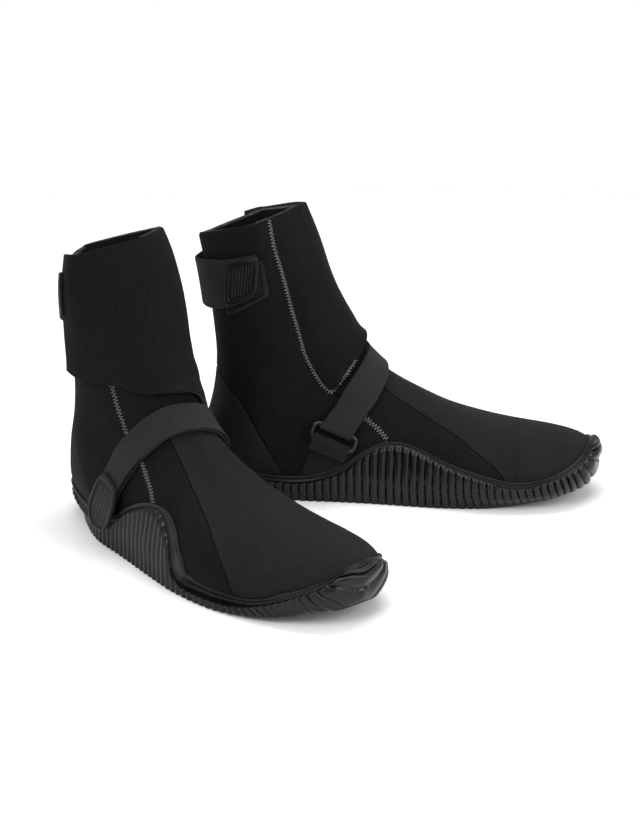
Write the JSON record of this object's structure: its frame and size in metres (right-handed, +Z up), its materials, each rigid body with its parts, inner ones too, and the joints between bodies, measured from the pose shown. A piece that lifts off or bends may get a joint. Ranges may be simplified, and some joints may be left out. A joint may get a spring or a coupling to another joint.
{
  "type": "pair of neoprene water sports boots",
  "caption": "Pair of ankle-high neoprene water sports boots with ribbed rubber soles, wrap-over front flap, calf strap and ring-fed instep strap.",
  "frame": {"origin": "centre of the pair's box, on the floor under the soles", "axes": "+Z up; +X along the left boot from heel to toe; +Y toward the left boot's outer side; the right boot is turned 48.4 degrees toward -Y"},
  "size_m": [0.3888, 0.3146, 0.2186],
  "materials": {
    "sole_rubber": "matt moulded",
    "neoprene": "smooth jersey face",
    "textured_fabric": "coarse abrasion weave",
    "lining": "soft knit",
    "footbed_foam": "soft",
    "thread": "twisted thread",
    "webbing": "woven",
    "tab_rubber": "satin moulded",
    "hook_and_loop": "napped",
    "ring": "gloss"
  },
  "bodies": {
    "left_boot": {"left_outsole": "sole_rubber", "left_foxing_band": "sole_rubber", "left_underfoot_panel": "neoprene", "left_footbed": "footbed_foam", "left_lining_sock": "lining", "left_vamp_panel": "textured_fabric", "left_medial_side_panel": "neoprene", "left_lateral_side_panel": "neoprene", "left_rear_quarter": "neoprene", "left_heel_panel": "textured_fabric", "left_front_gusset": "neoprene", "left_quarter_seam_stitching": "thread", "left_calf_loop_patch": "hook_and_loop", "left_instep_strap_base": "webbing", "left_strap_ring": "ring", "left_ring_keeper": "webbing", "left_keeper_anchor_patch": "textured_fabric"},
    "left_flap": {"left_front_flap": "neoprene", "left_flap_seam_stitching": "thread"},
    "left_calf_strap": {"left_calf_strap": "webbing", "left_calf_strap_tab": "tab_rubber", "left_calf_hook_pad": "hook_and_loop"},
    "left_instep_tail": {"left_instep_strap_tail": "webbing", "left_instep_strap_tab": "tab_rubber", "left_instep_hook_pad": "hook_and_loop"},
    "right_boot": {"right_outsole": "sole_rubber", "right_foxing_band": "sole_rubber", "right_underfoot_panel": "neoprene", "right_footbed": "footbed_foam", "right_lining_sock": "lining", "right_vamp_panel": "textured_fabric", "right_medial_side_panel": "neoprene", "right_lateral_side_panel": "neoprene", "right_rear_quarter": "neoprene", "right_heel_panel": "textured_fabric", "right_front_gusset": "neoprene", "right_quarter_seam_stitching": "thread", "right_calf_loop_patch": "hook_and_loop", "right_instep_strap_base": "webbing", "right_strap_ring": "ring", "right_ring_keeper": "webbing", "right_keeper_anchor_patch": "textured_fabric"},
    "right_flap": {"right_front_flap": "neoprene", "right_flap_seam_stitching": "thread"},
    "right_calf_strap": {"right_calf_strap": "webbing", "right_calf_strap_tab": "tab_rubber", "right_calf_hook_pad": "hook_and_loop"},
    "right_instep_tail": {"right_instep_strap_tail": "webbing", "right_instep_strap_tab": "tab_rubber", "right_instep_hook_pad": "hook_and_loop"}
  },
  "joints": [
    {"name": "right_boot_lift", "type": "slide", "parent": "left_boot", "child": "right_boot", "axis": [0, 0, 1], "range_m": [0, 0.3]},
    {"name": "left_flap_open", "type": "hinge", "parent": "left_boot", "child": "left_flap", "pos_m": [-0.05453, 0.06269, 0.21077], "axis": [0.3065, 0.0539, -0.9503], "range_deg": [0, 55]},
    {"name": "left_calf_strap_open", "type": "hinge", "parent": "left_flap", "child": "left_calf_strap", "pos_m": [-0.06791, 0.14668, 0.15638], "axis": [0.1821, 0.0038, -0.9833], "range_deg": [0, 110]},
    {"name": "left_instep_tail_open", "type": "hinge", "parent": "left_boot", "child": "left_instep_tail", "pos_m": [0.01235, 0.07118, 0.07623], "axis": [0.8939, -0.0134, -0.4481], "range_deg": [0, 118]},
    {"name": "right_flap_open", "type": "hinge", "parent": "right_boot", "child": "right_flap", "pos_m": [-0.11988, 0.05851, 0.21077], "axis": [-0.1632, 0.265, 0.9503], "range_deg": [0, 55]},
    {"name": "right_calf_strap_open", "type": "hinge", "parent": "right_flap", "child": "right_calf_strap", "pos_m": [-0.19157, 0.01276, 0.15638], "axis": [-0.1181, 0.1387, 0.9833], "range_deg": [0, 110]},
    {"name": "right_instep_tail_open", "type": "hinge", "parent": "right_boot", "child": "right_instep_tail", "pos_m": [-0.08182, 0.00287, 0.07623], "axis": [-0.6035, 0.6595, 0.4481], "range_deg": [0, 118]}
  ],
  "couplings": [
    {"joint": "left_calf_strap_open", "follows": "left_flap_open", "ratio": 2},
    {"joint": "right_calf_strap_open", "follows": "right_flap_open", "ratio": 2}
  ]
}
